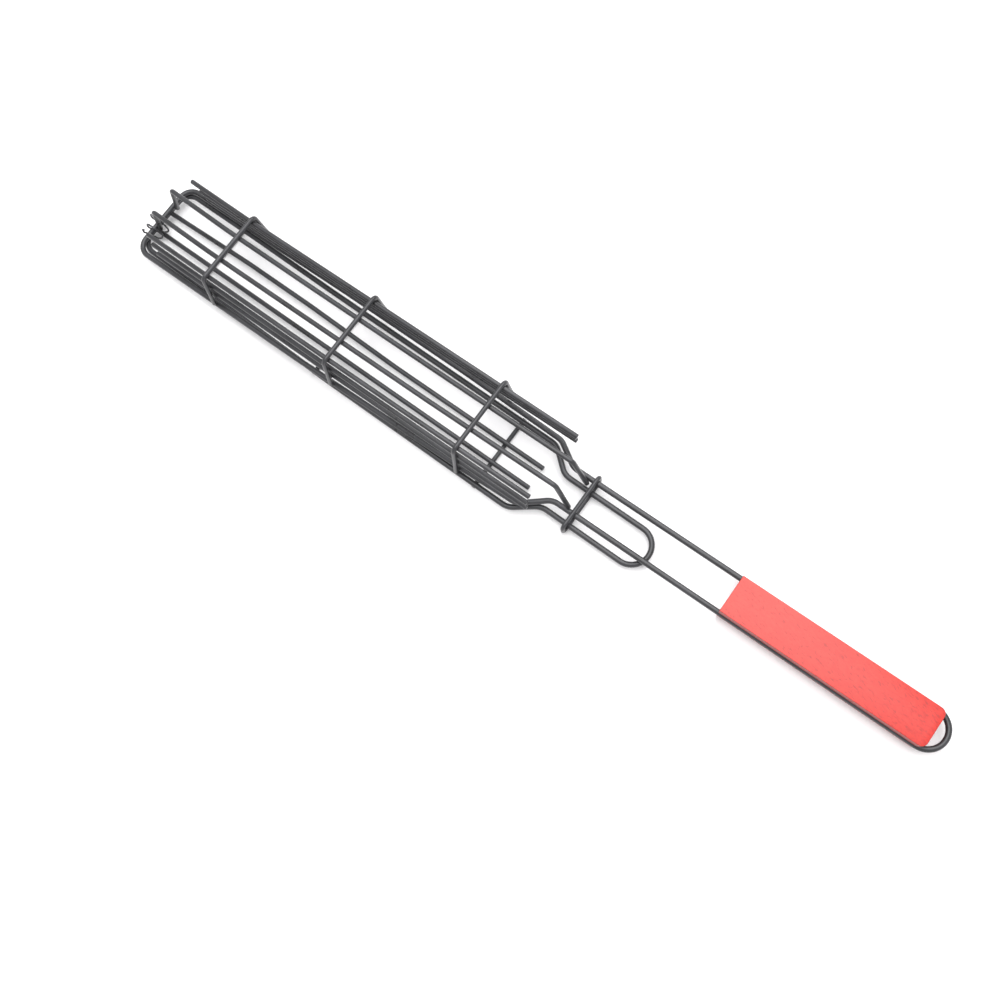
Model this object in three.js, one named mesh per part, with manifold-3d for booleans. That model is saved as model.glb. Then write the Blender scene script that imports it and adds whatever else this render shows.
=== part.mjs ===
// Marshmallow roasting fork with a hinged wire basket and a painted wooden grip.
//
// The fork lies flat. X runs along it from the hinged end of the basket to the hanging loop,
// Y is across it and Z is up, with the table at Z = 0. All sizes are in millimetres.
// Three bodies move on each other:
//   lower grid    the flat lid, its tongue and the hinge coil; it lies on the table
//   upper basket  the deep trough, the long frame and the grip; it swings up on the coil
//   lock ring     slides along the frame's legs, round the tongue, to hold the basket shut
// Welded wires stand a small weld gap apart, so every wire is a solid of its own.

import * as THREE from 'three';
import { mergeVertices } from 'three/addons/utils/BufferGeometryUtils.js';
import Module from 'manifold-3d';

// --- driving dimensions -------------------------------------------------------------------------

const FRAME_WIRE = 3.0; // diameter of both frame wires
const LONG_WIRE = 2.6; // diameter of the long wires
const GRID_WIRE = 2.3; // diameter of the lid's cross wires and of the ring
const RIB_WIRE = 2.5; // diameter of the three bent ribs
const COIL_WIRE = 1.0; // diameter of the hinge coil's wire
const WELD_GAP = 0.3; // space left between two wires that are welded together
const WIRE_SIDES = 10; // flats round a wire

const TOTAL_LENGTH = 490; // lid's end bar to the tip of the hanging loop

// Upper frame, seen from above: [X, Y, bend radius] of each corner from the end bar to the legs.
// The trough's rim is bowed by hand, a little wider on the near side and narrower at the handle.
const UPPER_FAR = [
  [3.4, 22.0, 7.5], [50, 21.0, 400], [120, 21.0, 500], [200, 20.05, 500], [262, 18.2, 8.5],
  [275.2, 9.85, 8.5],
];
const UPPER_NEAR = [
  [3.4, -23.5, 7.5], [120, -23.9, 500], [227.3, -22.5, 500], [262.5, -21.4, 8.5],
  [276.3, -9.85, 8.5],
];
const HINGE_X = UPPER_FAR[0][0]; // the end bar is the hinge axis
const LEG_HALF_GAP = 9.85; // legs, to the wire's centre line

// Lower frame, in the lid's own turned frame.
const LID_SIDE_SHIFT = -1.9; // the lid hangs a little to the near side in its loose hinge
const LID_YAW = THREE.MathUtils.degToRad(-0.67);
const LID_FAR = [
  [1.6, 21.75, 8.5], [50, 21.75, 500], [110, 21.0, 500], [260.3, 20.45, 10], [273, 10, 10],
];
const LID_NEAR = [[1.6, -17.6, 8.5], [140, -20.3, 500], [259.3, -20.3, 10], [273, -10, 10]];
const TONGUE_HALF_GAP = 10.0;
const TONGUE_END_X = 330.7;

// Long and cross wires of the lid: [X, Y].
const LID_LONG = {
  far: [[3.6, 6.5], [60, 7.85], [105, 7.75], [165, 6.45], [262, 6.5]],
  near: [[3.6, -5.7], [262, -5.85]],
};
const LID_CROSS_WIRES = [[43, 22.6, -19.6], [130, 22.6, -20.9], [238, 22.6, -21.4]]; // [X, Y, Y]

// Long wires of the trough's sides: [X, Y], bending gently where the ribs hold them.
const CORNER_WIRES = {
  far: [[19.2, 19.75], [62.8, 18.9], [160, 18.8], [272.2, 18.5]],
  near: [[19.2, -17.7], [120, -18.75], [200, -19.0], [270.6, -19.05]],
};
const UPPER_WALL_WIRES = {
  far: [[21.5, 19.9], [145, 19.6], [270.5, 19.5]],
  near: [[19.8, -19.3], [62.8, -19.75], [145, -20.45], [269.8, -20.7]],
};
const LOWER_WALL_WIRES = {
  far: [[22, 20.6], [145, 20.4], [270, 20.4]],
  near: [[20.5, -20.4], [62.8, -20.8], [145, -21.4], [269.5, -21.6]],
};
const TROUGH_PITCH = 7.6; // height from the rim to the first wall wire, and from wire to wire
const LONG_BEND = 400;

// Ribs. Each leg is given by [Y where it would meet the top without its bend, Y of its foot,
// height of its foot above the rim's centre line].
const FIRST_RIB_X = 62.8;
const RIB_PITCH = 82.25;
const RIB_FAR_LEG = [21.55, 24.2, -0.9];
const RIB_NEAR_LEGS = [[-21.15, -25.0, 2.05], [-21.8, -25.3, 2.05], [-21.8, -25.57, 0.2]];
const RIB_BEND = 3.0;

// Support wires along the trough's top: [X, Y] of the level run, and the ends' places across.
// The far end comes down beside the end bar; the near end beside the far leg, or on the near leg.
const SUPPORT_RUNS = {
  far: [[12.9, 9.4], [55, 8.05], [110, 7.5], [200, 7.05], [278, 6.85]],
  near: [[12.9, -5.9], [55, -7.0], [110, -7.3], [200, -7.72], [278, -7.5]],
};
const SUPPORT_BAR_Y = { far: 8.2, near: -6.45 };
const SUPPORT_LEG_ENDS = { far: [285.3, 6.7, 0], near: [285.2, -8.6, 2.9] }; // [X, Y, Z over rim]
const SUPPORT_BEND = 2.6;

// Lock ring: a flat oval round both pairs of legs.
const RING_X = 289;
const RING_CENTRE_Y = -3.2;
const RING_HALF_WIDTH = 16.2; // to the wire's centre line
const RING_BEND = 2.8;

// Hinge coil, wound loosely round both end bars. The lay lists [degrees wound, Y] and is
// uneven, because the wire has to miss the support wire's leg and the lid's long wire.
const COIL_RADIUS = 6.0;
const COIL_LAY = [
  [-60, -2.7], [130, -4.2], [225, -5.4], [270, -6.7], [360, -8.4], [495, -9.5], [630, -11.4],
  [850, -13.8],
];
const COIL_STEP = 26; // degrees to each straight step

// Grip.
const GRIP_FRONT_X = 373.5;
const GRIP_LENGTH = 108;
const GRIP_HALF_WIDTH = 10.3;
const GRIP_EDGE = 1.0;
const GRIP_REAR_CORNER = 3.2;
const GRIP_FRONT_CORNER = 1.2;
const GROOVE_FLOOR = 7.6; // distance of the groove's floor from the middle plane
const GROOVE_HALF_HEIGHT = 1.8;

// --- heights that follow from the wires ---------------------------------------------------------

const CROSS_Z = GRID_WIRE / 2;
const LID_WIRE_Z = GRID_WIRE + WELD_GAP + LONG_WIRE / 2;
const LID_Z = GRID_WIRE + WELD_GAP + FRAME_WIRE / 2;
const UPPER_Z = LID_Z + FRAME_WIRE + WELD_GAP;
const TROUGH_TOP_Z = UPPER_Z + 3 * TROUGH_PITCH;
const RIB_Z = TROUGH_TOP_Z + LONG_WIRE / 2 + WELD_GAP + RIB_WIRE / 2;
const RING_TOP_Z = UPPER_Z + FRAME_WIRE / 2 + WELD_GAP + GRID_WIRE / 2;
const GRIP_HEIGHT = 2 * UPPER_Z;

// --- materials ----------------------------------------------------------------------------------

const COATED_WIRE = { color: 0x2d2d2f, roughness: 0.42, metalness: 0.55 };
const BRIGHT_WIRE = { color: 0x4a4a4c, roughness: 0.35, metalness: 0.8 };
const PAINTED_WOOD = { color: 0xee4138, roughness: 0.55, metalness: 0 };

// --- wires --------------------------------------------------------------------------------------

const point = (x, y, z) => new THREE.Vector3(x, y, z);

// A wire's centre line through a list of points, each of which gets one section.
class WireLine extends THREE.Curve {
  constructor(points) {
    super();
    this.points = points;
  }

  getUtoTmapping(u) {
    return u;
  }

  getPoint(t, target = new THREE.Vector3()) {
    const place = t * (this.points.length - 1);
    const index = Math.min(Math.floor(place), this.points.length - 2);
    return target.lerpVectors(this.points[index], this.points[index + 1], place - index);
  }

  // The mean of the two directions that meet at a point, so both runs share its section.
  getTangent(t, target = new THREE.Vector3()) {
    const last = this.points.length - 1;
    const index = Math.round(t * last);
    target.set(0, 0, 0);
    if (index > 0) {
      target.add(this.points[index].clone().sub(this.points[index - 1]).normalize());
    }
    if (index < last) {
      target.add(this.points[index + 1].clone().sub(this.points[index]).normalize());
    }
    return target.normalize();
  }
}

// Rounds the corners of a run of straight lines: each corner becomes an arc of its own radius.
function bendCorners(corners, radii, stepAngle = 0.32) {
  const points = [corners[0]];
  for (let i = 1; i < corners.length - 1; i += 1) {
    const back = corners[i - 1].clone().sub(corners[i]).normalize();
    const ahead = corners[i + 1].clone().sub(corners[i]).normalize();
    const turn = Math.PI - back.angleTo(ahead);
    const radius = Array.isArray(radii) ? radii[i - 1] : radii;
    const setback = radius * Math.tan(turn / 2);
    const start = corners[i].clone().addScaledVector(back, setback);
    const middle = back.clone().add(ahead).normalize();
    const centre = corners[i].clone().addScaledVector(middle, radius / Math.cos(turn / 2));
    const axis = ahead.clone().cross(back).normalize();
    const steps = Math.max(2, Math.ceil(turn / stepAngle));
    for (let step = 0; step <= steps; step += 1) {
      const arm = start.clone().sub(centre).applyAxisAngle(axis, (turn * step) / steps);
      points.push(arm.add(centre));
    }
  }
  points.push(corners[corners.length - 1]);
  return points;
}

function wire(name, points, diameter, look, sides = WIRE_SIDES) {
  const section = new THREE.Shape();
  section.absarc(0, 0, diameter / 2, 0, 2 * Math.PI);
  const geometry = new THREE.ExtrudeGeometry(section, {
    curveSegments: sides / 2,
    steps: points.length - 1,
    extrudePath: new WireLine(points),
  });
  const mesh = new THREE.Mesh(geometry, new THREE.MeshStandardMaterial(look));
  mesh.name = name;
  return mesh;
}

// A long wire at one height through a list of [X, Y], bent gently at those between its ends.
function longWire(name, places, z) {
  const line = bendCorners(places.map(([x, y]) => point(x, y, z)), LONG_BEND);
  return wire(name, line, LONG_WIRE, COATED_WIRE);
}

// The half circle that joins two legs, from the far side to the near side.
function legTurn(centreX, radius, z, steps = 10) {
  const points = [];
  for (let step = 1; step < steps; step += 1) {
    const angle = Math.PI / 2 - (Math.PI * step) / steps;
    points.push(point(centreX + radius * Math.cos(angle), radius * Math.sin(angle), z));
  }
  return points;
}

// A closed frame is one wire whose two ends butt together at jointY on the end bar. Its sides are
// listed as [X, Y, bend radius] and its legs run on to the middle of their half circle.
function frameWire(name, far, near, turnX, z, jointY) {
  const barX = far[0][0];
  const side = (corners, startY) => {
    const legY = corners[corners.length - 1][1];
    const line = corners.map(([x, y]) => point(x, y, z));
    const bends = corners.map(([, , bend]) => bend);
    return bendCorners([point(barX, startY, z), ...line, point(turnX, legY, z)], bends);
  };
  const farSide = side(far, jointY);
  const nearSide = side(near, jointY - WELD_GAP).reverse();
  const turn = legTurn(turnX, far[far.length - 1][1], z);
  return wire(name, [...farSide, ...turn, ...nearSide], FRAME_WIRE, COATED_WIRE);
}

// --- lower grid ---------------------------------------------------------------------------------

function lowerGrid() {
  const lid = new THREE.Group();
  lid.position.y = LID_SIDE_SHIFT;
  lid.rotation.z = LID_YAW;

  const turnX = TONGUE_END_X - TONGUE_HALF_GAP;
  lid.add(frameWire('lid_frame_wire', LID_FAR, LID_NEAR, turnX, LID_Z, -6));

  for (const [side, places] of Object.entries(LID_LONG)) {
    lid.add(longWire(`lid_long_wire_${side}`, places, LID_WIRE_Z));
  }

  LID_CROSS_WIRES.forEach(([x, ...places], index) => {
    const ends = places.map((y) => point(x, y, CROSS_Z));
    lid.add(wire(`lid_cross_wire_${index + 1}`, ends, GRID_WIRE, COATED_WIRE));
  });
  return lid;
}

// Where the coil's wire is across the fork when it has been wound through an angle.
function coilY(degrees) {
  const next = Math.max(1, COIL_LAY.findIndex(([wound]) => wound >= degrees));
  const [before, yBefore] = COIL_LAY[next - 1];
  const [after, yAfter] = COIL_LAY[next];
  return THREE.MathUtils.mapLinear(degrees, before, after, yBefore, yAfter);
}

// Thin wire wound round both end bars, on the hinge axis.
function hingeCoil() {
  const points = [];
  const first = COIL_LAY[0][0];
  const last = COIL_LAY[COIL_LAY.length - 1][0];
  for (let degrees = first; degrees <= last; degrees += COIL_STEP) {
    const angle = THREE.MathUtils.degToRad(degrees);
    points.push(point(
      HINGE_X - COIL_RADIUS * Math.cos(angle),
      coilY(degrees),
      UPPER_Z + COIL_RADIUS * Math.sin(angle),
    ));
  }
  return wire('hinge_coil', points, COIL_WIRE, BRIGHT_WIRE, 8);
}

// --- upper basket -------------------------------------------------------------------------------

function mainFrame() {
  const turnX = TOTAL_LENGTH - FRAME_WIRE / 2 - LEG_HALF_GAP;
  return frameWire('main_frame_wire', UPPER_FAR, UPPER_NEAR, turnX, UPPER_Z, 0);
}

function rib(nearLeg, index) {
  const x = FIRST_RIB_X + RIB_PITCH * index;
  const corners = [
    point(x, RIB_FAR_LEG[1], UPPER_Z + RIB_FAR_LEG[2]),
    point(x, RIB_FAR_LEG[0], RIB_Z),
    point(x, nearLeg[0], RIB_Z),
    point(x, nearLeg[1], UPPER_Z + nearLeg[2]),
  ];
  const line = bendCorners(corners, RIB_BEND);
  return wire(`basket_rib_${index + 1}`, line, RIB_WIRE, COATED_WIRE);
}

function troughWires(side) {
  return [
    longWire(`corner_wire_${side}`, CORNER_WIRES[side], TROUGH_TOP_Z),
    longWire(`upper_wall_wire_${side}`, UPPER_WALL_WIRES[side], UPPER_Z + 2 * TROUGH_PITCH),
    longWire(`lower_wall_wire_${side}`, LOWER_WALL_WIRES[side], UPPER_Z + TROUGH_PITCH),
  ];
}

// Runs along the trough's top and is bent down at both ends: beside the end bar, and to a leg.
function supportWire(side) {
  const reach = FRAME_WIRE / 2 + WELD_GAP + LONG_WIRE / 2;
  const [endX, endY, rise] = SUPPORT_LEG_ENDS[side];
  const run = SUPPORT_RUNS[side];
  const corners = [
    point(HINGE_X + reach, SUPPORT_BAR_Y[side], UPPER_Z),
    ...run.map(([x, y]) => point(x, y, TROUGH_TOP_Z)),
    point(endX, endY, UPPER_Z + rise),
  ];
  const last = run.length - 1;
  const bends = run.map((_, i) => (i === 0 || i === last ? SUPPORT_BEND : LONG_BEND));
  return wire(`support_wire_${side}`, bendCorners(corners, bends), LONG_WIRE, COATED_WIRE);
}

// --- grip ---------------------------------------------------------------------------------------

const wasm = await Module();
wasm.setup();

function toSolid(geometry) {
  const bare = new THREE.BufferGeometry();
  bare.setAttribute('position', geometry.getAttribute('position'));
  if (geometry.index) bare.setIndex(geometry.index);
  const merged = mergeVertices(bare, 1e-4);
  return new wasm.Manifold(new wasm.Mesh({
    numProp: 3,
    vertProperties: new Float32Array(merged.attributes.position.array),
    triVerts: new Uint32Array(merged.index.array),
  }));
}

function fromSolid(solid) {
  const { vertProperties, triVerts } = solid.getMesh();
  const geometry = new THREE.BufferGeometry();
  geometry.setAttribute('position', new THREE.BufferAttribute(vertProperties, 3));
  geometry.setIndex(new THREE.BufferAttribute(triVerts, 1));
  geometry.computeVertexNormals();
  return geometry;
}

// One block of wood with eased edges. The frame's legs lie in a groove along each side of it.
function grip() {
  const rear = GRIP_LENGTH - GRIP_EDGE;
  const half = GRIP_HALF_WIDTH - GRIP_EDGE;
  const rearCorner = GRIP_REAR_CORNER - GRIP_EDGE;
  const frontCorner = GRIP_FRONT_CORNER - GRIP_EDGE;
  const outline = new THREE.Shape();
  outline.moveTo(GRIP_EDGE + frontCorner, -half);
  outline.lineTo(rear - rearCorner, -half);
  outline.absarc(rear - rearCorner, -half + rearCorner, rearCorner, -Math.PI / 2, 0);
  outline.absarc(rear - rearCorner, half - rearCorner, rearCorner, 0, Math.PI / 2);
  outline.lineTo(GRIP_EDGE + frontCorner, half);
  outline.lineTo(GRIP_EDGE, half - frontCorner);
  outline.lineTo(GRIP_EDGE, -half + frontCorner);
  outline.closePath();
  const block = new THREE.ExtrudeGeometry(outline, {
    depth: GRIP_HEIGHT - 2 * GRIP_EDGE,
    curveSegments: 3,
    bevelSize: GRIP_EDGE,
    bevelThickness: GRIP_EDGE,
    bevelSegments: 2,
  });
  block.translate(GRIP_FRONT_X, 0, GRIP_EDGE);

  let solid = toSolid(block);
  const grooveDepth = 2 * (GRIP_HALF_WIDTH - GROOVE_FLOOR);
  for (const sign of [-1, 1]) {
    const groove = new THREE.BoxGeometry(GRIP_LENGTH + 20, grooveDepth, 2 * GROOVE_HALF_HEIGHT);
    const middleX = GRIP_FRONT_X + GRIP_LENGTH / 2;
    groove.translate(middleX, sign * (GROOVE_FLOOR + grooveDepth / 2), UPPER_Z);
    solid = solid.subtract(toSolid(groove));
  }
  const mesh = new THREE.Mesh(fromSolid(solid), new THREE.MeshStandardMaterial(PAINTED_WOOD));
  mesh.name = 'wooden_grip';
  return mesh;
}

// --- lock ring ----------------------------------------------------------------------------------

// A flat oval of wire in the plane across the legs, its ends butted under the legs.
function lockRing() {
  const farY = RING_CENTRE_Y + RING_HALF_WIDTH;
  const nearY = RING_CENTRE_Y - RING_HALF_WIDTH;
  const corners = [
    point(RING_X, RING_CENTRE_Y + WELD_GAP, CROSS_Z),
    point(RING_X, farY, CROSS_Z),
    point(RING_X, farY, RING_TOP_Z),
    point(RING_X, nearY, RING_TOP_Z),
    point(RING_X, nearY, CROSS_Z),
    point(RING_X, RING_CENTRE_Y, CROSS_Z),
  ];
  return wire('lock_ring', bendCorners(corners, RING_BEND), GRID_WIRE, COATED_WIRE);
}

// --- the whole fork -----------------------------------------------------------------------------

const fork = new THREE.Group();
fork.add(lowerGrid());
fork.add(hingeCoil());
fork.add(mainFrame());
fork.add(...RIB_NEAR_LEGS.map(rib));
for (const side of ['far', 'near']) {
  fork.add(...troughWires(side));
  fork.add(supportWire(side));
}
fork.add(grip());
fork.add(lockRing());

// The origin is the middle of the fork's footprint.
fork.updateMatrixWorld(true);
const footprint = new THREE.Box3().setFromObject(fork, true).getCenter(new THREE.Vector3());
fork.position.set(-footprint.x, -footprint.y, 0);

export default fork;
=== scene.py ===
"""Marshmallow roasting fork: a hinged wire basket on a long frame with a painted wooden grip."""

import math

import bmesh
import bpy
from mathutils import Matrix, Quaternion, Vector


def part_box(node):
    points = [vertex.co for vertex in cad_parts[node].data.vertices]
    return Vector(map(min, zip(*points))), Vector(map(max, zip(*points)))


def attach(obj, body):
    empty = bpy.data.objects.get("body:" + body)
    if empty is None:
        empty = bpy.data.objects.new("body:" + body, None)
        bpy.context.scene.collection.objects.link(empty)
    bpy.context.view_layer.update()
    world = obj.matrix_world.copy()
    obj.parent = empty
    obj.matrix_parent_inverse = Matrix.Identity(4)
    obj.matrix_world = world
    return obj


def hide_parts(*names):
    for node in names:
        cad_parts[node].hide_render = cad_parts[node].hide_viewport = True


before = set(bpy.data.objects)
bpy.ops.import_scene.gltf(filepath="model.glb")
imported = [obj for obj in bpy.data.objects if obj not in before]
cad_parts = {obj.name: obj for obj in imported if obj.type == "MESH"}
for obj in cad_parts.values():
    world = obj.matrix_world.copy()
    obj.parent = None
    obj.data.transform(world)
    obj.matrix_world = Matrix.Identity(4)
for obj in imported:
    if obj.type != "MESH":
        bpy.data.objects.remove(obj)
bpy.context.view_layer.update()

MM = 0.001

# --- sizes, in millimetres ----------------------------------------------------------------------
# X runs from the hinged end to the hanging loop, Y across to the far side from the basket's
# middle line, and Z up from the table.

FRAME_WIRE = 3.0
LONG_WIRE = 2.6
GRID_WIRE = 2.3
RIB_WIRE = 2.5
COIL_WIRE = 1.0

TABLE_TO_CROSS = GRID_WIRE / 2
LID_Z = 3.9  # lid frame, resting on the cross wires
LID_WIRE_Z = 3.6
UPPER_Z = 7.35  # upper frame
TROUGH_PITCH = 7.6
TROUGH_TOP_Z = UPPER_Z + 3 * TROUGH_PITCH
RIB_Z = TROUGH_TOP_Z + 2.5

FORK_LENGTH = 490
LEG_HALF_GAP = 9.85
LOOP_TURN_X = FORK_LENGTH - FRAME_WIRE / 2 - LEG_HALF_GAP
TONGUE_TURN_X = 320.7
FIRST_RIB_X = 62.8
RIB_PITCH = 82.25
RIB_FAR_TOP, RIB_FAR_FOOT, RIB_FAR_DROP = 21.35, 23.9, 0.9
RIB_BEND = 3.0
GENTLE_BEND = 400
LID_WIRE_BEND = 300
SUPPORT_BEND = 2.6
SUPPORT_START_X = 6.2
CROSS_FAR_END = 22.6
RING_X, RING_MIDDLE_Y, RING_HALF_WIDTH, RING_BEND = 289, -3.2, 15.9, 2.8

GRIP_START = 373.5
GRIP_LENGTH = 108
GRIP_HALF_WIDTH = 10.3
GRIP_HEIGHT = 14.7
GRIP_REAR_CORNER = 3.2
GRIP_EDGE = 0.4
GROOVE_HALF_HEIGHT = 1.65
GROOVE_DEPTH = 2.5

WELD_REACH = 0.45  # widest space between two wires that still gets a weld bead
WELD_RADIUS = 1.05
WELD_SQUASH = 0.62

# --- where the fork lies in the row frame -------------------------------------------------------

grip_low, grip_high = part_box("wooden_grip")
FORK_X = grip_low.x - GRIP_START * MM
FORK_Y = (grip_low.y + grip_high.y) / 2


def at(x, y, z):
    """A place on the fork, in metres in the row frame."""
    return Vector((FORK_X + x * MM, FORK_Y + y * MM, z * MM))


LID_TURN = Matrix.Rotation(math.radians(-0.67), 4, "Z")
LID_SHIFT = -1.9


def on_lid(x, y, z):
    """A place in the lid's own turned frame, in metres in the row frame."""
    turned = LID_TURN @ Vector((x, y, z))
    return at(turned.x, turned.y + LID_SHIFT, turned.z)


# --- materials ----------------------------------------------------------------------------------


def linear(hex_colour):
    """sRGB hex to linear RGBA."""
    parts = [int(hex_colour[i : i + 2], 16) / 255 for i in (1, 3, 5)]
    lin = [c / 12.92 if c <= 0.04045 else ((c + 0.055) / 1.055) ** 2.4 for c in parts]
    return (*lin, 1.0)


def node(tree, kind, **values):
    """Adds a shader node; values name its properties, or its input sockets."""
    made = tree.nodes.new(kind)
    for key, value in values.items():
        if hasattr(made, key):
            setattr(made, key, value)
            continue
        socket = made.inputs[key.replace("_", " ")]
        if isinstance(value, bpy.types.NodeSocket):
            tree.links.new(value, socket)
        else:
            socket.default_value = value
    return made


def new_material(name):
    material = bpy.data.materials.new(name)
    material.use_nodes = True
    tree = material.node_tree
    shader = tree.nodes["Principled BSDF"]
    where = tree.nodes.new("ShaderNodeTexCoord").outputs["Object"]
    return material, tree, shader, where


def ramp(tree, factor, stops):
    """A colour ramp: stops are (position, colour)."""
    made = tree.nodes.new("ShaderNodeValToRGB")
    tree.links.new(factor, made.inputs["Fac"])
    elements = made.color_ramp.elements
    while len(elements) < len(stops):
        elements.new(0.5)
    for element, (position, colour) in zip(elements, stops):
        element.position = position
        element.color = colour if len(colour) == 4 else (*colour, 1.0)
    return made.outputs["Color"]


def grey(value):
    return (value, value, value, 1.0)


def coated_steel():
    """Baked dark coating on drawn wire: a soft sheen, broken by a fine orange peel."""
    material, tree, shader, where = new_material("coated steel wire")
    peel = node(tree, "ShaderNodeTexNoise", Vector=where, Scale=900.0, Detail=2.0)
    dust = node(tree, "ShaderNodeTexNoise", Vector=where, Scale=60.0, Detail=4.0)
    tone = ramp(tree, dust.outputs["Fac"], [(0.35, linear("#2f2f31")), (0.65, linear("#3b3b3e"))])
    tree.links.new(tone, shader.inputs["Base Color"])
    gloss = ramp(tree, dust.outputs["Fac"], [(0.3, grey(0.26)), (0.7, grey(0.36))])
    tree.links.new(gloss, shader.inputs["Roughness"])
    bump = node(tree, "ShaderNodeBump", Strength=0.25, Distance=0.00004, Height=peel.outputs["Fac"])
    tree.links.new(bump.outputs["Normal"], shader.inputs["Normal"])
    shader.inputs["Metallic"].default_value = 0.25
    shader.inputs["Specular IOR Level"].default_value = 0.55
    return material


def hinge_steel():
    """Thin springy wire, only oiled, so a little brighter than the coated wires."""
    material, tree, shader, where = new_material("oiled steel wire")
    dust = node(tree, "ShaderNodeTexNoise", Vector=where, Scale=200.0, Detail=3.0)
    tone = ramp(tree, dust.outputs["Fac"], [(0.3, linear("#3a3a3c")), (0.7, linear("#56565a"))])
    tree.links.new(tone, shader.inputs["Base Color"])
    shader.inputs["Metallic"].default_value = 0.7
    shader.inputs["Roughness"].default_value = 0.38
    return material


def stained_wood():
    """Red stain on close-grained wood under a thin satin lacquer. The stain pools in the pores;
    the upright sides are painted darker as shade, and the top is painted paler towards the basket as
    a reflection of the overhead softbox."""
    material, tree, shader, where = new_material("red stained wood")
    along = node(tree, "ShaderNodeMapping", Vector=where, Rotation=(0, 0, 0.28))
    grain = node(tree, "ShaderNodeMapping", Vector=along.outputs["Vector"], Scale=(0.42, 1.0, 1.0))
    cloud = node(tree, "ShaderNodeTexNoise", Vector=where, Scale=90.0, Detail=3.0)
    figure = node(
        tree, "ShaderNodeTexNoise", Vector=grain.outputs["Vector"], Scale=620.0, Detail=3.0,
        Roughness=0.62, Distortion=0.6,
    )
    pores = node(
        tree, "ShaderNodeTexNoise", Vector=grain.outputs["Vector"], Scale=1100.0, Detail=1.0,
        Roughness=0.5, Distortion=0.3,
    )
    ground = ramp(
        tree, figure.outputs["Fac"],
        [(0.30, linear("#a9180e")), (0.47, linear("#be2115")), (0.70, linear("#ca2c1d"))],
    )
    # painted highlight: the colour is painted paler towards the basket's end, fading out towards the
    # rear, as a reflection of the overhead softbox
    x_along = node(tree, "ShaderNodeSeparateXYZ", Vector=where).outputs["X"]
    front_sheen_share = node(tree, "ShaderNodeMapRange")
    tree.links.new(x_along, front_sheen_share.inputs["Value"])
    for socket, value in (
        ("From Min", at(GRIP_START, 0, 0).x), ("From Max", at(GRIP_START + GRIP_LENGTH, 0, 0).x),
        ("To Min", 0.30), ("To Max", 0.0),
    ):
        front_sheen_share.inputs[socket].default_value = value
    sheened_red = blended(tree, front_sheen_share.outputs["Result"], ground, linear("#dc574d"))
    patchy = ramp(tree, cloud.outputs["Fac"], [(0.35, grey(0.25)), (0.65, grey(0.0))])
    sheened_red = blended(tree, patchy, sheened_red, linear("#c22b22"))
    dark = ramp(tree, pores.outputs["Fac"], [(0.30, grey(0.55)), (0.42, grey(0.0))])
    top = blended(tree, dark, sheened_red, linear("#8f1d17"))
    # painted shade: the more upright a face, the darker red it is painted, as the sides stand in
    # shade from the overhead light
    up = node(tree, "ShaderNodeSeparateXYZ", Vector=normal_of(tree)).outputs["Z"]
    level = node(tree, "ShaderNodeMath", operation="ABSOLUTE")
    tree.links.new(up, level.inputs[0])
    side = ramp(tree, level.outputs[0], [(0.35, grey(0.8)), (0.8, grey(0.0))])
    colour = blended(tree, side, top, linear("#6e1610"))
    tree.links.new(colour, shader.inputs["Base Color"])
    bump = node(tree, "ShaderNodeBump", Strength=0.25, Distance=0.0001, Height=pores.outputs["Fac"])
    tree.links.new(bump.outputs["Normal"], shader.inputs["Normal"])
    shader.inputs["Roughness"].default_value = 0.45
    shader.inputs["Coat Weight"].default_value = 0.2
    shader.inputs["Coat Roughness"].default_value = 0.3
    return material


def blended(tree, factor, one, two):
    """Mixes two colours; each may be a socket or a colour."""
    mix = tree.nodes.new("ShaderNodeMix")
    mix.data_type = "RGBA"
    for index, value in ((0, factor), (6, one), (7, two)):
        if isinstance(value, bpy.types.NodeSocket):
            tree.links.new(value, mix.inputs[index])
        else:
            mix.inputs[index].default_value = value
    return mix.outputs[2]


def normal_of(tree):
    """The surface's direction in the piece's own frame."""
    return tree.nodes.new("ShaderNodeTexCoord").outputs["Normal"]


COATED = coated_steel()
OILED = hinge_steel()
WOOD = stained_wood()

# --- bending wire -------------------------------------------------------------------------------


def section_at(bm, start, ahead, radius, sides):
    """The first ring of a wire: a circle across the feed direction. Returns its edges."""
    turn = ahead.to_track_quat("Z", "Y").to_matrix().to_4x4()
    made = bmesh.ops.create_circle(
        bm, cap_ends=False, segments=sides, radius=radius, matrix=Matrix.Translation(start) @ turn
    )
    return list({edge for vert in made["verts"] for edge in vert.link_edges})


def feed(bm, ring, step):
    """Pushes the wire straight on. Returns the new last ring."""
    made = bmesh.ops.extrude_edge_only(bm, edges=ring)["geom"]
    verts = [g for g in made if isinstance(g, bmesh.types.BMVert)]
    bmesh.ops.translate(bm, verts=verts, vec=step)
    return [
        g for g in made
        if isinstance(g, bmesh.types.BMEdge) and all(v in set(verts) for v in g.verts)
    ]


def bend(bm, ring, centre, axis, angle, steps):
    """Bends the wire round an axis. Returns the new last ring."""
    made = bmesh.ops.spin(
        bm, geom=ring, cent=centre, axis=axis, angle=angle, steps=steps, use_merge=False,
        use_duplicate=False, use_normal_flip=False,
    )["geom_last"]
    return [g for g in made if isinstance(g, bmesh.types.BMEdge)]


def cut_end(bm, ring, ahead, radius):
    """Closes a wire's end with the small rolled edge that shears leave."""
    edge = radius * 0.22
    for share, drop in ((0.93, 0.62), (0.75, 0.38)):
        ring = feed(bm, ring, ahead * edge * drop)
        verts = list({v for e in ring for v in e.verts})
        middle = sum((v.co for v in verts), Vector()) / len(verts)
        across = [(v.co - middle).length for v in verts]
        factor = share * radius / max(across)
        bmesh.ops.scale(
            bm, verts=verts, vec=(factor,) * 3, space=Matrix.Translation(-middle)
        )
    bmesh.ops.edgeloop_fill(bm, edges=ring)


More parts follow.
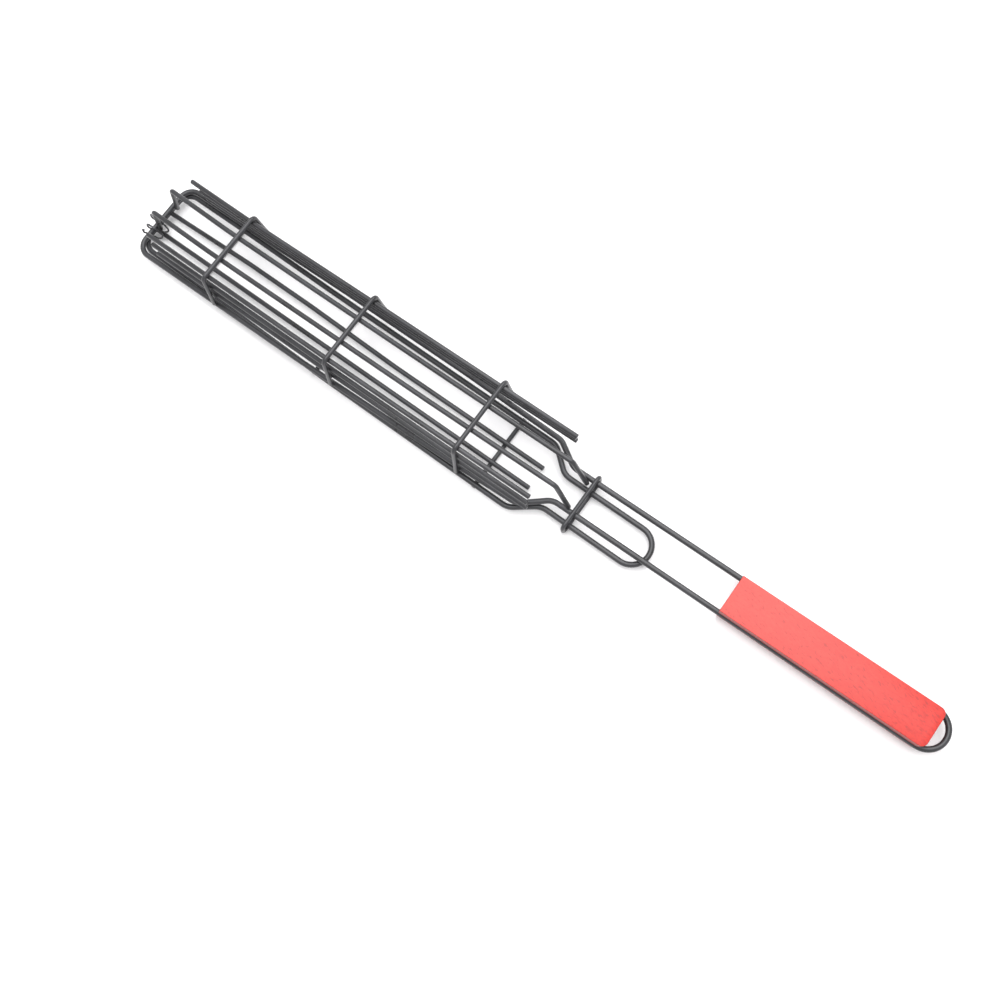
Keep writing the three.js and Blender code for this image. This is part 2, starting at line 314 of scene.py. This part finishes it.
def run_of(points, bends):
    """Straights and bends through corner points: [("feed", step) | ("bend", centre, axis, angle)]."""
    moves = []
    here = points[0].copy()
    for i in range(1, len(points) - 1):
        corner = points[i]
        inward = (corner - points[i - 1]).normalized()
        outward = (points[i + 1] - corner).normalized()
        turn = inward.angle(outward)
        if turn < 1e-4:
            continue
        radius = bends[i - 1] * MM
        setback = radius * math.tan(turn / 2)
        start = corner - inward * setback
        if (start - here).length > 1e-6:
            moves.append(("feed", start - here))
        axis = inward.cross(outward).normalized()
        centre = start + axis.cross(inward).normalized() * radius
        moves.append(("bend", centre, axis, turn))
        here = corner + outward * setback
    if (points[-1] - here).length > 1e-6:
        moves.append(("feed", points[-1] - here))
    return moves


def centre_line(points, moves, pieces=8):
    """Points along a wire's middle, for finding where wires touch."""
    line = [points[0].copy()]
    for move in moves:
        here = line[-1]
        if move[0] == "feed":
            line.append(here + move[1])
            continue
        _, centre, axis, turn = move
        for step in range(1, pieces + 1):
            line.append(centre + Quaternion(axis, turn * step / pieces) @ (here - centre))
    return line


LINES = {}


def finished(name, bm, material, sharp=35):
    """Turns the work into an object at the origin, shaded smooth up to its sharp edges."""
    bmesh.ops.recalc_face_normals(bm, faces=bm.faces)
    for face in bm.faces:
        face.smooth = True
    mesh = bpy.data.meshes.new(name)
    bm.to_mesh(mesh)
    bm.free()
    mesh.set_sharp_from_angle(angle=math.radians(sharp))
    mesh.materials.append(material)
    made = bpy.data.objects.new(name, mesh)
    bpy.context.scene.collection.objects.link(made)
    return made


def stands_for(made, cad_node, body):
    """The piece moves with its body and is shown in place of the CAD node."""
    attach(made, body)
    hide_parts(cad_node)


def wire(cad_node, body, diameter, points, bends=(), closed=False, sides=20, material=None):
    """One bent wire, cut square at both ends or welded into a loop."""
    radius = diameter / 2 * MM
    moves = run_of(points, bends)
    bm = bmesh.new()
    ahead = (points[1] - points[0]).normalized()
    first = ring = section_at(bm, points[0], ahead, radius, sides)
    for move in moves:
        if move[0] == "feed":
            ring = feed(bm, ring, move[1])
            ahead = move[1].normalized()
        else:
            _, centre, axis, turn = move
            steps = max(3, math.ceil(turn / 0.13))
            ring = bend(bm, ring, centre, axis, turn, steps)
            ahead = Quaternion(axis, turn) @ ahead
    if closed:
        bmesh.ops.remove_doubles(bm, verts=bm.verts, dist=1e-5)
    else:
        cut_end(bm, ring, ahead, radius)
        back = (points[0] - points[1]).normalized()
        cut_end(bm, first, back, radius)
    made = finished(f"drawn_{cad_node}", bm, material or COATED)
    stands_for(made, cad_node, body)
    LINES[cad_node] = (body, radius, centre_line(points, moves))
    return made


# --- lower grid ---------------------------------------------------------------------------------


# Frame corners [(X, Y), ...] from the end bar to the legs, each with its bend radius.
LID_FAR = [
    (1.6, 21.75, 8.0), (50, 21.75, 500), (110, 21.0, 500), (260.3, 20.45, 9), (273.0, 10.0, 9),
]
LID_NEAR = [(1.6, -17.6, 8.5), (140, -20.3, 500), (259.3, -20.3, 10), (273.0, -10.0, 10)]
UPPER_FAR = [
    (3.4, 22.0, 7.5), (50, 21.0, 400), (120, 21.0, 500), (200, 20.05, 500), (262, 18.2, 8.5),
    (275.2, LEG_HALF_GAP, 8.5),
]
UPPER_NEAR = [
    (3.4, -23.5, 7.5), (120, -23.9, 500), (227.3, -22.5, 500), (262.5, -21.4, 8.5),
    (276.3, -LEG_HALF_GAP, 8.5),
]


def frame_wire(cad_node, body, place, far, near, turn_x, z):
    """A frame: from the middle of its end bar round the legs' half circle and back to it."""
    bar_x, leg_half = far[0][0], far[-1][1]
    tip = turn_x + leg_half
    loop_bend = leg_half - 0.01
    around = [(bar_x, 0.0, 0), *far, (tip, leg_half, loop_bend), (tip, -leg_half, loop_bend)]
    around += [*reversed(near), (bar_x, 0.0, 0)]
    points = [place(x, y, z) for x, y, _ in around]
    bends = [bend for _, _, bend in around[1:-1]]
    wire(cad_node, body, FRAME_WIRE, points, bends, closed=True)


# The lid's long wires [(X, Y), ...], the cross wires' places along it and their near ends.
LID_LONG = {
    "far": [(3.2, 6.5), (60, 7.85), (105, 7.75), (165, 6.45), (262, 6.5)],
    "near": [(3.2, -5.7), (262, -5.85)],
}
LID_CROSS = ((43, -19.6), (130, -20.9), (238, -21.4))


def lower_grid():
    body = "lower_grid"
    frame_wire("lid_frame_wire", body, on_lid, LID_FAR, LID_NEAR, TONGUE_TURN_X, LID_Z)
    for side, places in LID_LONG.items():
        points = [on_lid(x, y, LID_WIRE_Z) for x, y in places]
        wire(f"lid_long_wire_{side}", body, LONG_WIRE, points, [LID_WIRE_BEND] * (len(points) - 2))
    for number, (x, near) in enumerate(LID_CROSS, 1):
        points = [on_lid(x, CROSS_FAR_END, TABLE_TO_CROSS), on_lid(x, near, TABLE_TO_CROSS)]
        wire(f"lid_cross_wire_{number}", body, GRID_WIRE, points)


# The coil's lay: degrees wound from the outer side over the top, place across, turn radius.
COIL_LAY = (
    (-50, -3.5, 5.8), (0, -4.1, 6.6), (130, -4.4, 6.0), (180, -4.6, 6.3), (225, -5.3, 6.0),
    (270, -7.2, 5.3), (315, -9.1, 5.5), (360, -9.9, 3.9), (450, -9.6, 5.3), (500, -9.2, 5.7),
    (540, -9.0, 6.1), (562, -9.8, 5.8), (630, -11.3, 5.3), (675, -12.5, 5.5), (720, -13.6, 4.0),
    (800, -13.6, 5.3),
)
COIL_STEP = 8
COIL_CENTRE_X, COIL_CENTRE_Z = 3.3, 6.7


def coil_lay(degrees):
    """Place across and turn radius of the coil, eased between the listed angles."""
    for before, after in zip(COIL_LAY, COIL_LAY[1:]):
        if degrees <= after[0]:
            share = (degrees - before[0]) / (after[0] - before[0])
            share = share * share * (3 - 2 * share)
            return [a + (b - a) * share for a, b in zip(before[1:], after[1:])]
    return COIL_LAY[-1][1:]


def hinge_coil():
    """Thin wire wound by hand round both end bars, so its turns are loose and uneven."""
    points = []
    for degrees in range(COIL_LAY[0][0], COIL_LAY[-1][0] + 1, COIL_STEP):
        angle = math.radians(degrees)
        across, radius = coil_lay(degrees)
        x = COIL_CENTRE_X - radius * math.cos(angle)
        points.append(at(x, across, COIL_CENTRE_Z + radius * math.sin(angle)))
    bm = bmesh.new()
    wire_radius = COIL_WIRE / 2 * MM
    facing = (points[1] - points[0]).normalized()
    first = ring = section_at(bm, points[0], facing, wire_radius, 14)
    for here, there, beyond in zip(points, points[1:], [*points[2:], points[-1]]):
        ring = feed(bm, ring, there - here)
        mean = ((there - here).normalized() + (beyond - there).normalized()).normalized()
        turn = facing.rotation_difference(mean).to_matrix()
        verts = list({v for e in ring for v in e.verts})
        bmesh.ops.rotate(bm, verts=verts, cent=there, matrix=turn)
        facing = mean
    cut_end(bm, ring, facing, wire_radius)
    cut_end(bm, first, (points[0] - points[1]).normalized(), wire_radius)
    made = finished("wound_hinge_coil", bm, OILED)
    stands_for(made, "hinge_coil", "lower_grid")


# --- upper basket -------------------------------------------------------------------------------


# The trough's long wires: how many wires up from the rim, and [(X, Y), ...] on each side.
LONG_WIRES = {
    "corner_wire": (3, {
        "far": [(19.2, 19.75), (62, 18.9), (160, 18.8), (272.2, 18.5)],
        "near": [(19.2, -17.7), (120, -18.75), (200, -19.0), (270.6, -19.05)],
    }),
    "upper_wall_wire": (2, {
        "far": [(21.5, 19.9), (145, 19.6), (270.5, 19.5)],
        "near": [(19.8, -19.3), (62.8, -19.75), (145, -20.45), (269.8, -20.8)],
    }),
    "lower_wall_wire": (1, {
        "far": [(22, 20.6), (145, 20.4), (270, 20.4)],
        "near": [(20.5, -20.4), (62.8, -20.7), (145, -21.4), (269.5, -21.6)],
    }),
}

# Each rib's near leg: Y where it would meet the top without its bend, Y and rise of its foot.
RIB_NEAR = [(-21.0, -24.7, 1.9), (-21.5, -25.0, 1.9), (-21.5, -25.3, 0.0)]

# Support wires: Y at the end bar, the level run's (X, Y), and the tip's X, Y and rise over the rim.
SUPPORTS = {
    "far": (8.2, [(12.9, 9.4), (55, 8.05), (110, 7.5), (200, 7.05), (278, 6.85)],
            (285.3, 6.9, 0.0)),
    "near": (-6.5, [(12.9, -5.9), (55, -7.0), (110, -7.3), (200, -7.72), (278, -7.5)],
             (285.2, -8.6, 2.55)),
}


def upper_basket():
    body = "upper_basket"
    frame_wire("main_frame_wire", body, at, UPPER_FAR, UPPER_NEAR, LOOP_TURN_X, UPPER_Z)
    for number, (top, foot, rise) in enumerate(RIB_NEAR):
        x = FIRST_RIB_X + RIB_PITCH * number
        points = [
            at(x, RIB_FAR_FOOT, UPPER_Z - RIB_FAR_DROP), at(x, RIB_FAR_TOP, RIB_Z),
            at(x, top, RIB_Z), at(x, foot, UPPER_Z + rise),
        ]
        wire(f"basket_rib_{number + 1}", body, RIB_WIRE, points, [RIB_BEND, RIB_BEND])
    for name, (level, sides) in LONG_WIRES.items():
        z = UPPER_Z + level * TROUGH_PITCH
        for side, places in sides.items():
            points = [at(x, y, z) for x, y in places]
            wire(f"{name}_{side}", body, LONG_WIRE, points, [GENTLE_BEND] * (len(points) - 2))
    for side, (bar_y, run, (tip_x, tip_y, rise)) in SUPPORTS.items():
        points = [at(SUPPORT_START_X, bar_y, UPPER_Z)]
        points += [at(x, y, TROUGH_TOP_Z) for x, y in run]
        points.append(at(tip_x, tip_y, UPPER_Z + rise))
        bends = [SUPPORT_BEND, *[GENTLE_BEND] * (len(run) - 2), SUPPORT_BEND]
        wire(f"support_wire_{side}", body, LONG_WIRE, points, bends)


def lock_ring():
    """A flat oval, pinched from round wire; its ends are butt welded underneath."""
    low, high = TABLE_TO_CROSS + 0.1, UPPER_Z + 2.75
    far, near = RING_MIDDLE_Y + RING_HALF_WIDTH, RING_MIDDLE_Y - RING_HALF_WIDTH
    around = [
        (RING_MIDDLE_Y, low), (far, low), (far, high), (near, high), (near, low),
        (RING_MIDDLE_Y, low),
    ]
    points = [at(RING_X, y, z) for y, z in around]
    wire("lock_ring", "lock_ring", GRID_WIRE, points, [RING_BEND] * 4, closed=True)


# --- welds --------------------------------------------------------------------------------------


def nearest(line_a, line_b):
    """The closest pair of points of two polylines."""
    best = None
    for p, q in zip(line_a, line_a[1:]):
        for r, s in zip(line_b, line_b[1:]):
            u, v, w = q - p, s - r, p - r
            a, b, c, d, e = u.dot(u), u.dot(v), v.dot(v), u.dot(w), v.dot(w)
            bottom = a * c - b * b
            t = min(1.0, max(0.0, (b * e - c * d) / bottom)) if bottom > 1e-18 else 0.5
            k = min(1.0, max(0.0, (b * t + e) / c)) if c > 0 else 0.0
            t = min(1.0, max(0.0, (b * k - d) / a)) if a > 0 else 0.0
            one, two = p + u * t, r + v * k
            gap = (one - two).length
            if best is None or gap < best[0]:
                best = (gap, one, two)
    return best


def welds(body):
    """A small squeezed bead wherever two wires of a body are welded across each other."""
    names = [n for n, (owner, _, _) in LINES.items() if owner == body]
    bm = bmesh.new()
    count = 0
    for i, name in enumerate(names):
        for other in names[i + 1 :]:
            _, radius, line = LINES[name]
            _, other_radius, other_line = LINES[other]
            gap, one, two = nearest(line, other_line)
            if gap > radius + other_radius + WELD_REACH * MM:
                continue
            towards = (two - one).normalized()
            middle = one + towards * radius + towards * (gap - radius - other_radius) / 2
            turn = towards.to_track_quat("Z", "Y").to_matrix().to_4x4()
            squash = Matrix.Diagonal((1.0, 1.0, WELD_SQUASH, 1.0))
            bmesh.ops.create_icosphere(
                bm, subdivisions=3, radius=WELD_RADIUS * MM,
                matrix=Matrix.Translation(middle) @ turn @ squash,
            )
            count += 1
    made = finished(f"{body}_welds", bm, COATED, sharp=80)
    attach(made, body)
    print("welds", body, count)


# --- grip ---------------------------------------------------------------------------------------


def grip():
    """One block of wood with eased edges and a groove along each side for a leg."""
    bm = bmesh.new()
    middle = at(GRIP_START + GRIP_LENGTH / 2, 0, GRIP_HEIGHT / 2)
    size = (GRIP_LENGTH * MM, 2 * GRIP_HALF_WIDTH * MM, GRIP_HEIGHT * MM, 1.0)
    bmesh.ops.create_cube(bm, size=1.0, matrix=Matrix.Translation(middle) @ Matrix.Diagonal(size))
    rear = [
        e for e in bm.edges
        if all(v.co.x > middle.x for v in e.verts) and abs(e.verts[0].co.z - e.verts[1].co.z) > 1e-4
    ]
    bmesh.ops.bevel(
        bm, geom=rear, affect="EDGES", offset=GRIP_REAR_CORNER * MM, segments=8, profile=0.5,
        material=-1,
    )
    # groove: cut the sides along two lines and push the strip between them in
    for height in (UPPER_Z - GROOVE_HALF_HEIGHT, UPPER_Z + GROOVE_HALF_HEIGHT):
        bmesh.ops.bisect_plane(
            bm, geom=[*bm.verts, *bm.edges, *bm.faces], plane_co=at(0, 0, height),
            plane_no=(0, 0, 1),
        )
    strips = [
        f for f in bm.faces
        if abs(f.normal.y) > 0.99 and abs(f.calc_center_median().z - UPPER_Z * MM) < 1e-4
    ]
    for strip in strips:
        inward = -strip.normal.normalized()
        made = bmesh.ops.extrude_discrete_faces(bm, faces=[strip])["faces"]
        bmesh.ops.translate(bm, verts=list(made[0].verts), vec=inward * GROOVE_DEPTH * MM)
    bmesh.ops.remove_doubles(bm, verts=bm.verts, dist=1e-6)
    edges = [
        e for e in bm.edges
        if len(e.link_faces) == 2 and e.calc_face_angle(0) > 1.0
        and all(abs(v.co.z - UPPER_Z * MM) > 3 * MM for v in e.verts)
    ]
    bmesh.ops.bevel(
        bm, geom=edges, affect="EDGES", offset=GRIP_EDGE * MM, segments=3, profile=0.5,
        material=-1,
    )
    made = finished("eased_wooden_grip", bm, WOOD, sharp=40)
    stands_for(made, "wooden_grip", "upper_basket")


lower_grid()
hinge_coil()
upper_basket()
lock_ring()
welds("lower_grid")
welds("upper_basket")
grip()

# --- studio -------------------------------------------------------------------------------------


def studio():
    bm = bmesh.new()
    bmesh.ops.create_grid(bm, x_segments=1, y_segments=1, size=3.0)
    floor = finished("floor", bm, floor_paint())

    world = bpy.data.worlds.new("white room")
    bpy.context.scene.world = world
    world.use_nodes = True
    sky = world.node_tree.nodes["Background"]
    sky.inputs["Color"].default_value = linear("#ffffff")
    sky.inputs["Strength"].default_value = 0.9

    softbox("overhead softbox", (-0.1, 0.15, 1.2), (0.05, 0.0, 0.0), (1.3, 1.1), 15.0)
    softbox("key softbox", (0.0, 0.8, 0.75), (0.1, 0.0, 0.0), (0.5, 0.4), 3.5)
    bpy.context.scene.view_settings.view_transform = "Standard"


def floor_paint():
    """Matt white paper, so shadows stay soft and clear."""
    material, _, shader, _ = new_material("white paper")
    shader.inputs["Base Color"].default_value = linear("#f6f5f6")
    shader.inputs["Roughness"].default_value = 0.9
    shader.inputs["Specular IOR Level"].default_value = 0.1
    return material


def softbox(name, place, aim, size, power):
    light = bpy.data.lights.new(name, "AREA")
    light.shape = "RECTANGLE"
    light.size, light.size_y = size
    light.energy = power
    made = bpy.data.objects.new(name, light)
    bpy.context.scene.collection.objects.link(made)
    made.location = place
    made.rotation_mode = "QUATERNION"
    made.rotation_quaternion = (Vector(aim) - Vector(place)).to_track_quat("-Z", "Y")
    return made


def camera():
    """Looks down on the fork from over the grip's front, rolled so the fork runs corner to corner."""
    azimuth, elevation, roll = (math.radians(a) for a in (147.58, 74.17, -22.12))
    ahead = Vector((
        math.cos(elevation) * math.cos(azimuth), math.cos(elevation) * math.sin(azimuth),
        -math.sin(elevation),
    ))
    level = ahead.cross(Vector((0, 0, 1))).normalized()
    upright = level.cross(ahead)
    right = level * math.cos(roll) + upright * math.sin(roll)
    up = upright * math.cos(roll) - level * math.sin(roll)
    lens = bpy.data.cameras.new("camera")
    lens.sensor_width = 36
    lens.lens = 38.68
    lens.clip_start, lens.clip_end = 0.01, 20
    made = bpy.data.objects.new("camera", lens)
    bpy.context.scene.collection.objects.link(made)
    turn = Matrix((right, up, -ahead)).transposed()
    made.rotation_mode = "QUATERNION"
    made.rotation_quaternion = turn.to_quaternion()
    made.location = at(378.44, -103.41, 524.62)
    bpy.context.scene.camera = made


studio()
camera()
